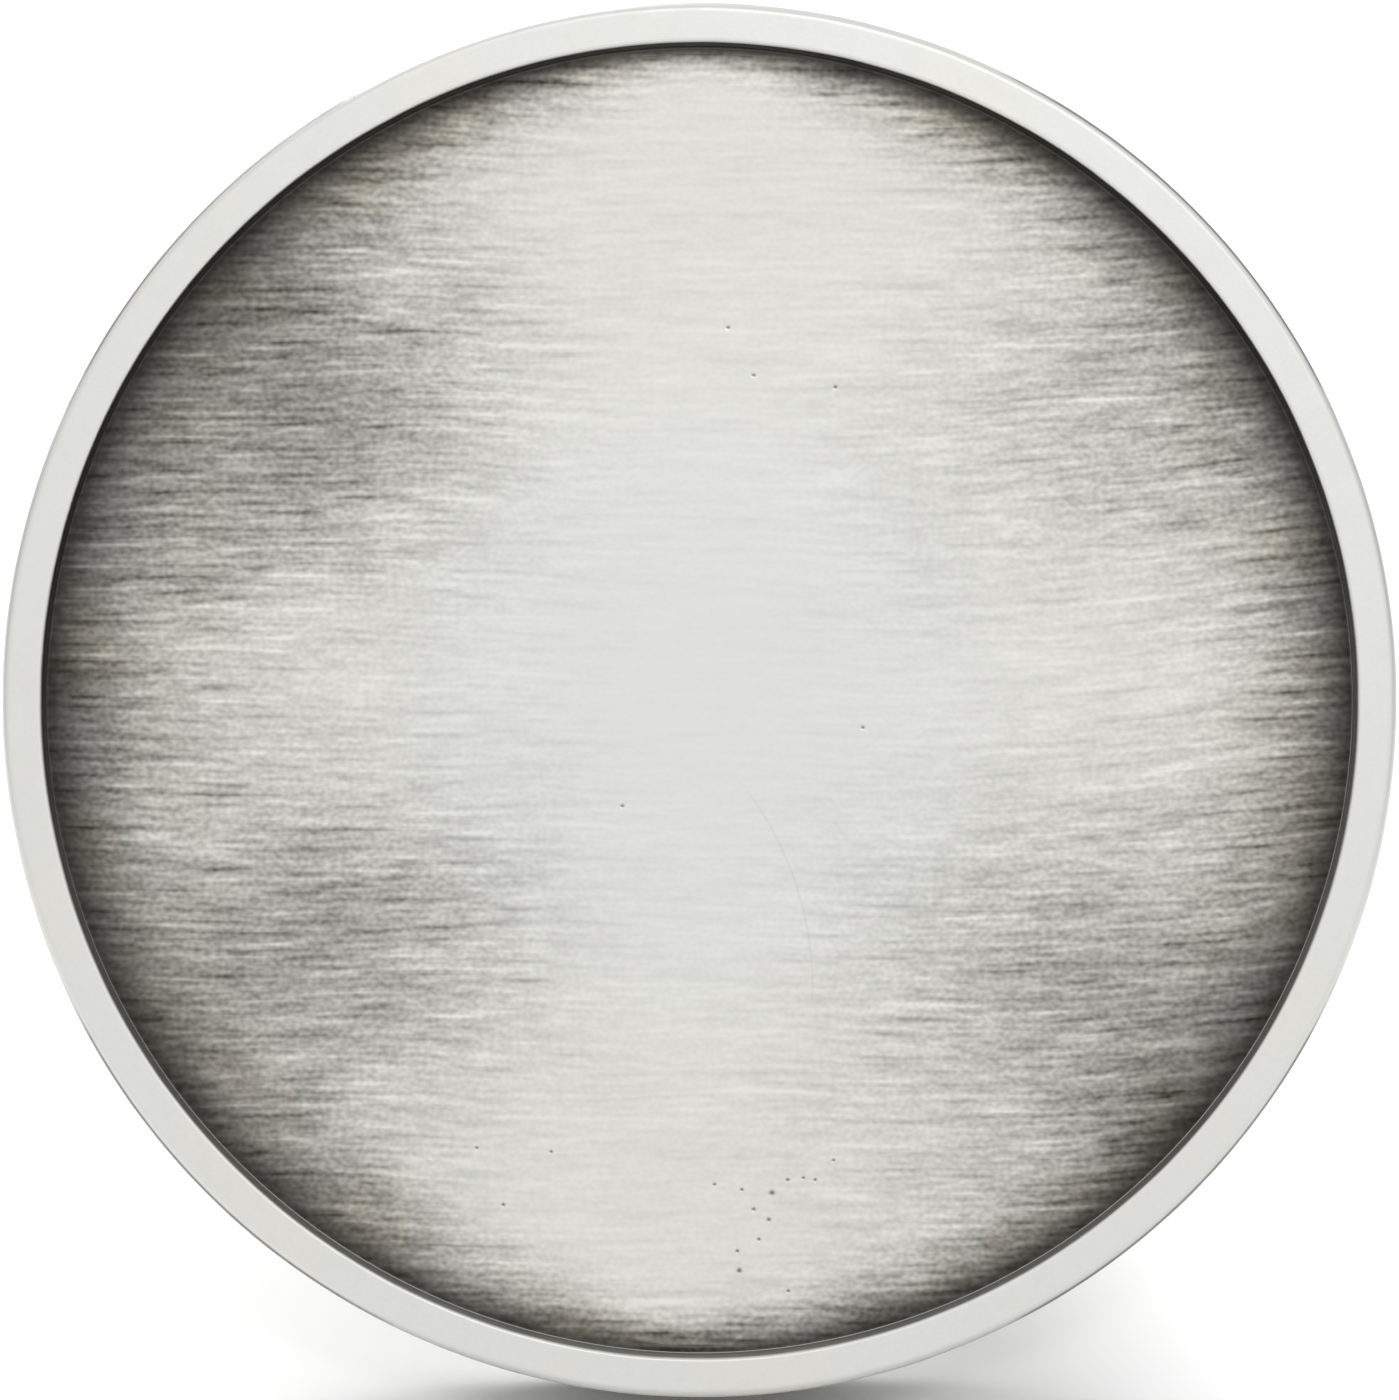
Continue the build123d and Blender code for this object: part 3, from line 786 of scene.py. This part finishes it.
def make_ring(face_material):
    """The turned ring: rim, recess wall, ledge, and the flange that plate and cover clamp."""
    cover_pocket_r = COVER_R + 0.1
    flange_r = 21.5
    longest, segments = 0.6, 640
    corners = [
        # radius, height, rounding
        (FACE_EDGE, 0.0, 0.0),
        (RECESS_R, 0.0, 0.10),
        (RECESS_R, LAND, 0.12),
        (OUTER_R, LAND, 0.3),
        (OUTER_R, RING_BACK, 0.4),
        (cover_pocket_r, RING_BACK, 0.15),
        (cover_pocket_r, COVER_FRONT, 0.05),
        (flange_r, COVER_FRONT, 0.05),
        (flange_r, PLATE_BACK, 0.05),
        (FACE_EDGE, PLATE_BACK, 0.0),
    ]
    points, faces = lathe(split_long(rounded(corners), longest), segments)
    points = np.array(points)

    # the polished edges wander by about a hundredth of a millimetre
    wander_depth = 1.2
    edge = Ripple(11)
    lap = np.arctan2(points[:, 1], points[:, 0]) / (2 * math.pi) * Ripple.SIZE
    near_front = np.clip((points[:, 2] - LAND + wander_depth) / wander_depth, 0, 1)
    shift = 0.010 * edge(lap / 4, 3.5) + 0.006 * edge(lap, 9.5)
    scale = 1 + shift * near_front / OUTER_R
    points[:, 0] *= scale
    points[:, 1] *= scale
    points[:, 2] += near_front * 0.004 * edge(lap / 2, 31.5)
    ring = piece_from("bezel_ring_cast", points, faces, FACE, "bezel_ring")
    ring.data.materials.append(antique_ring())
    ring.data.materials.append(face_material)

    # the ledge continues the brushed face
    for face in ring.data.polygons:
        centre = face.center / MM
        if math.hypot(centre.x, centre.y) < RECESS_R - 0.05 and abs(centre.z) < 0.04:
            face.material_index = 1
    grain_map(ring)


def pitted(mesh):
    """Finer faces and small craters in the mesh at the pits, and the dirt in them written down."""
    finer_shares, finer_margin = 2.2, 0.12  # how far the finer faces reach past a pit
    work = bmesh.new()
    work.from_mesh(mesh)
    work.faces.ensure_lookup_table()
    centres = np.array([f.calc_center_median() for f in work.faces]) / MM
    near = np.zeros(len(centres), bool)
    for right, up, size in PITS:
        away = np.hypot(centres[:, 0] - right * RECESS_R, centres[:, 1] - up * RECESS_R)
        close = away < size * RECESS_R * finer_shares + finer_margin
        near |= close & (centres[:, 2] > PIT_FLOOR)
    edges = {e for k in np.nonzero(near)[0] for e in work.faces[k].edges}
    edges = sorted(edges, key=lambda e: e.index)
    bmesh.ops.subdivide_edges(work, edges=edges, cuts=5, use_grid_fill=True)
    work.to_mesh(mesh)
    work.free()

    co = np.array([v.co for v in mesh.vertices]) / MM
    dirt = np.zeros(len(co), np.float32)
    for right, up, size in PITS:
        away = np.hypot(co[:, 0] - right * RECESS_R, co[:, 1] - up * RECESS_R) / (size * RECESS_R)
        hollow = np.exp(-(away**2)) * (co[:, 2] > PIT_FLOOR)
        co[:, 2] -= PIT_DEPTH * hollow
        dirt = np.maximum(dirt, hollow)
    mesh.vertices.foreach_set("co", (co * MM).astype(np.float32).ravel())
    written = mesh.attributes.new("dirt", "FLOAT", "POINT")
    written.data.foreach_set("value", dirt.astype(np.float32))
    mesh.update()


def make_plate(face_material):
    """The brushed disc, as rows across the face, with pits and a shallow brushed relief."""
    rows, columns = 470, 150
    last_row = FACE_EDGE - 0.02
    y = np.linspace(-last_row, last_row, rows)
    t = np.linspace(-1, 1, columns + 1)
    half = np.sqrt(FACE_EDGE**2 - y**2)
    grid_x = half[:, None] * t[None, :]
    grid_y = np.repeat(y[:, None], columns + 1, axis=1)

    # long waves and two sets of brush lines, all of which die away at the edge
    wave, brush = Ripple(3), Ripple(5)
    calm_edge = 1.5
    inside = np.clip((FACE_EDGE - np.hypot(grid_x, grid_y)) / calm_edge, 0, 1)
    relief = 0.006 * wave(grid_x / 7 + 40, grid_y / 7 + 40)
    relief += 0.0012 * brush(grid_x / 5 + 90, grid_y / 0.35 + 90)
    relief += 0.0008 * brush(grid_x / 2.5 + 10, grid_y / 0.2 + 10)
    points = [tuple(p) for p in np.stack([grid_x, grid_y, relief * inside], 2).reshape(-1, 3)]
    wide = columns + 1
    faces = [
        (r * wide + c, r * wide + c + 1, (r + 1) * wide + c + 1, (r + 1) * wide + c)
        for r in range(rows - 1)
        for c in range(columns)
    ]

    # its side and back, from the points round its rim
    rim = list(range(wide))
    rim += [r * wide + columns for r in range(1, rows)]
    rim += [(rows - 1) * wide + c for c in range(columns - 1, -1, -1)]
    rim += [r * wide for r in range(rows - 2, 0, -1)]
    start = len(points)
    points += [(points[k][0], points[k][1], PLATE_BACK) for k in rim]
    count = len(rim)
    for k in range(count):
        n = (k + 1) % count
        faces.append((rim[k], start + k, start + n, rim[n]))
    faces.append(tuple(range(start, start + count)))

    # tapped bosses on the back, sunk a little into it
    bore_r, boss_r = 0.8, 1.8
    boss_top, boss_end = PLATE_BACK + 0.02, -2.35
    boss = lathe(
        rounded(
            [
                (bore_r, boss_end, 0.05),
                (boss_r, boss_end, 0.1),
                (boss_r, boss_top, 0.0),
                (bore_r, boss_top, 0.0),
            ],
            steps=3,
        ),
        48,
    )
    points, faces = joined((points, faces), *[moved(boss, spot) for spot in SCREW_PLACES])

    plate = piece_from("face_plate_brushed", points, faces, FACE, "face_plate")
    pitted(plate.data)
    grain_map(plate)
    plate.data.set_sharp_from_angle(angle=SHARP)
    plate.data.materials.append(face_material)


# ---------------------------------------------------------------- the back
def softened(node, name, where, width, materials, steps=3):
    """A CAD node's shape with its sharp edges rounded over. The last material is for the edges."""
    source = frame["nodes"][node].data
    back = where.inverted()
    points = [tuple(back @ v.co / MM) for v in source.vertices]
    faces = [tuple(p.vertices) for p in source.polygons]
    made = piece_from(name, points, faces, where, node, flatten=True)
    for material in materials:
        made.data.materials.append(material)

    # only edges that stand out are rounded, not inside corners
    work = bmesh.new()
    work.from_mesh(made.data)
    weight = work.edges.layers.float.new("bevel_weight_edge")
    for edge in work.edges:
        outward = len(edge.link_faces) == 2 and edge.calc_face_angle_signed() > SHARP
        edge[weight] = 1.0 if outward else 0.0
    work.to_mesh(made.data)
    work.free()
    bevel = made.modifiers.new("rounded_edges", "BEVEL")
    bevel.width = width * MM
    bevel.segments = steps
    bevel.limit_method = "WEIGHT"
    bevel.harden_normals = True
    bevel.material = len(materials) - 1
    return made


def make_foot():
    """A moulded rubber sleeve: grip grooves round its sole, three finger ribs, a bead at its mouth."""
    sole_r = foot_high.z
    sole_y = foot_low.y + sole_r
    top = foot_high.y
    end_round = 0.9
    groove_count, groove_depth = 5, 0.12
    rib_height, rib_half_height = 0.13, 0.22
    rib_places = [sole_y + 0.9, sole_y + 1.7, sole_y + 2.5]
    bead_place, bead_height, bead_half_height = top - 0.55, 0.16, 0.42

    # the outline from the side: round the sole, then up both sides to the mouth
    profile = []
    sole_steps = 96
    for k in range(sole_steps + 1):
        angle = math.pi * k / sole_steps
        groove = max(0.0, math.cos(groove_count * 2 * (angle - math.pi / 2))) ** 3
        reach = sole_r - groove_depth * groove * math.sin(angle)
        profile.append((reach * math.cos(angle), sole_y - reach * math.sin(angle)))

    def swell(y):
        out = sum(rib_height * math.exp(-(((y - at) / rib_half_height) ** 4)) for at in rib_places)
        return out + bead_height * math.exp(-(((y - bead_place) / bead_half_height) ** 4))

    side = [(sole_r + swell(y), y) for y in np.linspace(sole_y, top - 0.02, 60)[1:]]
    side += [(sole_r - 0.10, top), (0.80, top), (0.66, top - 0.12)]
    profile += [(-z, y) for z, y in side] + [(z, y) for z, y in reversed(side)]

    # the same outline across the foot, drawn in where its two ends are rounded
    stations = np.linspace(-1, 1, 73)
    middle, half = (top + sole_y - sole_r) / 2, (top - sole_y + sole_r) / 2
    points = []
    for s in stations:
        x = foot_high.x * math.sin(s * math.pi / 2)
        past = max(0.0, abs(x) - (foot_high.x - end_round))
        inset = end_round - math.sqrt(max(0.0, end_round**2 - past**2))
        narrow, tall = (sole_r - inset) / sole_r, (half - inset) / half
        points += [(x, middle + (y - middle) * tall, z * narrow) for z, y in profile]

    count = len(profile)
    faces = []
    for s in range(len(stations) - 1):
        a, b = s * count, (s + 1) * count
        for k in range(count):
            n = (k + 1) % count
            faces.append((a + k, b + k, b + n, a + n))
    faces.append(tuple(range(count)))
    faces.append(tuple(range((len(stations) - 1) * count, len(stations) * count)))
    foot = piece_from("leg_foot_moulded", points, faces, LEG, "leg_foot")
    foot.data.materials.append(rubber())


def make_pad():
    """The foam disc: cut edges drawn in a little, and an uneven skin."""
    voxel, smoothings = 0.3, 3
    dent_size, dent_depth = 0.7, 0.05
    source = frame["nodes"]["foam_pad"].data
    back = FACE.inverted()
    points = [tuple(back @ v.co / MM) for v in source.vertices]
    faces = [tuple(p.vertices) for p in source.polygons]
    pad = piece_from("foam_pad_cut", points, faces, FACE, "foam_pad")
    remesh = pad.modifiers.new("even", "REMESH")
    remesh.mode = "VOXEL"
    remesh.voxel_size = voxel * MM
    bpy.context.view_layer.update()
    even = bpy.data.meshes.new_from_object(pad.evaluated_get(bpy.context.evaluated_depsgraph_get()))
    pad.modifiers.clear()

    work = bmesh.new()
    work.from_mesh(even)
    for _ in range(smoothings):
        bmesh.ops.smooth_vert(
            work, verts=work.verts, factor=0.5, use_axis_x=True, use_axis_y=True, use_axis_z=True
        )
    cells = Ripple(21)
    for vert in work.verts:
        vert.normal_update()
    for vert in work.verts:
        at = vert.co / MM
        dent = 0.5 + 0.5 * float(cells(at.x / dent_size + 60, at.y / dent_size + 60 + at.z))
        vert.co = vert.co - vert.normal * dent * dent_depth * MM
    for face in work.faces:
        face.smooth = True
    work.to_mesh(even)
    work.free()

    even.name = "foam_pad_cut"
    pad.data = even
    pad.data.materials.clear()
    pad.data.materials.append(foam())


face_material = brushed_face()
make_ring(face_material)
make_plate(face_material)

polished = worn_edge("worn_silver_edge", SILVER, PATINA_AND_SHADE)
plated_edge = worn_edge("worn_steel_edge", (0.60, 0.60, 0.59, 1), (0.20, 0.19, 0.18, 1), 0.22)

# directions of the grain, as lines per millimetre on x, y and z
ACROSS = (9.0, 0.5, 9.0)
AROUND = (0.5, 9.0, 9.0)
EVEN = (7.0, 7.0, 7.0)

softened("rear_cover", "rear_cover_turned", FACE, 0.06, [turned_cover(), polished])
softened("easel_leg", "easel_leg_cast", LEG, 0.12, [leg_silver(), polished], 4)
softened(
    "hinge_bracket",
    "hinge_bracket_bent",
    HINGE,
    0.10,
    [plated_steel("nickel_sheet", (0.52, 0.51, 0.49, 1), 0.34, ACROSS), plated_edge],
)
screw_steel = plated_steel("nickel_screw", (0.50, 0.50, 0.49, 1), 0.30, EVEN)
softened("cover_screws", "cover_screws_crosshead", FACE, 0.05, [screw_steel, plated_edge])
softened("bracket_rivets", "bracket_rivets_headed", FACE, 0.06, [screw_steel, plated_edge])
pin_steel = plated_steel("ground_pin", (0.55, 0.55, 0.55, 1), 0.24, AROUND)
softened("hinge_pin", "hinge_pin_headed", HINGE, 0.04, [pin_steel, plated_edge])
clip_steel = plated_steel("blued_spring_steel", (0.060, 0.063, 0.075, 1), 0.32, EVEN)
softened("pin_clip", "pin_clip_spring", HINGE, 0.05, [clip_steel])
softened("hinge_washers", "hinge_washers_nylon", HINGE, 0.07, [nylon()])
make_foot()
make_pad()


# ---------------------------------------------------------------- stage and light
STUDIO = 1.08  # brightness of the white studio all round


def make_stage():
    """A pale floor in a white studio."""
    mesh = bpy.data.meshes.new("floor")
    reach = 3.0
    corners = [(-reach, -reach, 0), (reach, -reach, 0), (reach, reach, 0), (-reach, reach, 0)]
    mesh.from_pydata(corners, [], [(0, 1, 2, 3)])
    floor = bpy.data.objects.new("floor", mesh)
    bpy.context.scene.collection.objects.link(floor)
    material = bpy.data.materials.new("pale_floor")
    tree = Tree(material)
    tree.surface({"Base Color": (0.95, 0.95, 0.95, 1), "Roughness": 0.9, "Specular IOR Level": 0.1})
    mesh.materials.append(material)

    # the studio is dimmer low down at both sides, so that round edges show their shape
    world = bpy.data.worlds.new("studio")
    bpy.context.scene.world = world
    tree = Tree(world)
    facing = tree.make("SeparateXYZ", {0: tree.make("TexCoord").outputs["Generated"]})
    aside = tree.fade(tree.math("ABSOLUTE", facing.outputs[0]), 0.70, 0.97)
    low = tree.fade(facing.outputs[2], 0.15, 0.75, 1.0, 0.0)
    strength = tree.sub(STUDIO, tree.mul(tree.mul(aside, low), STUDIO * 0.45))
    background = tree.make("Background", {"Color": (1, 1, 1, 1), "Strength": strength})
    output = tree.make("OutputWorld")
    tree.links.new(background.outputs[0], output.inputs["Surface"])


def make_light(name, direction, distance, size, watts):
    """A square area light aimed at the middle of the face. The direction is in the world's axes."""
    light = bpy.data.lights.new(name, "AREA")
    light.size = size
    light.energy = watts
    holder = bpy.data.objects.new(name, light)
    bpy.context.scene.collection.objects.link(holder)
    target = FACE.translation
    where = target + Vector(direction).normalized() * distance
    holder.location = where
    holder.rotation_mode = "QUATERNION"
    holder.rotation_quaternion = (target - where).to_track_quat("-Z", "Y")


make_stage()
key_direction = FACE.to_3x3() @ Vector((0.15, 0.42, 1.0))
make_light("key", key_direction, 0.8, 0.12, 0.5)
make_light("back", (-0.45, 0.7, 0.75), 0.8, 0.35, 2.6)
bpy.context.scene.view_settings.view_transform = "Standard"
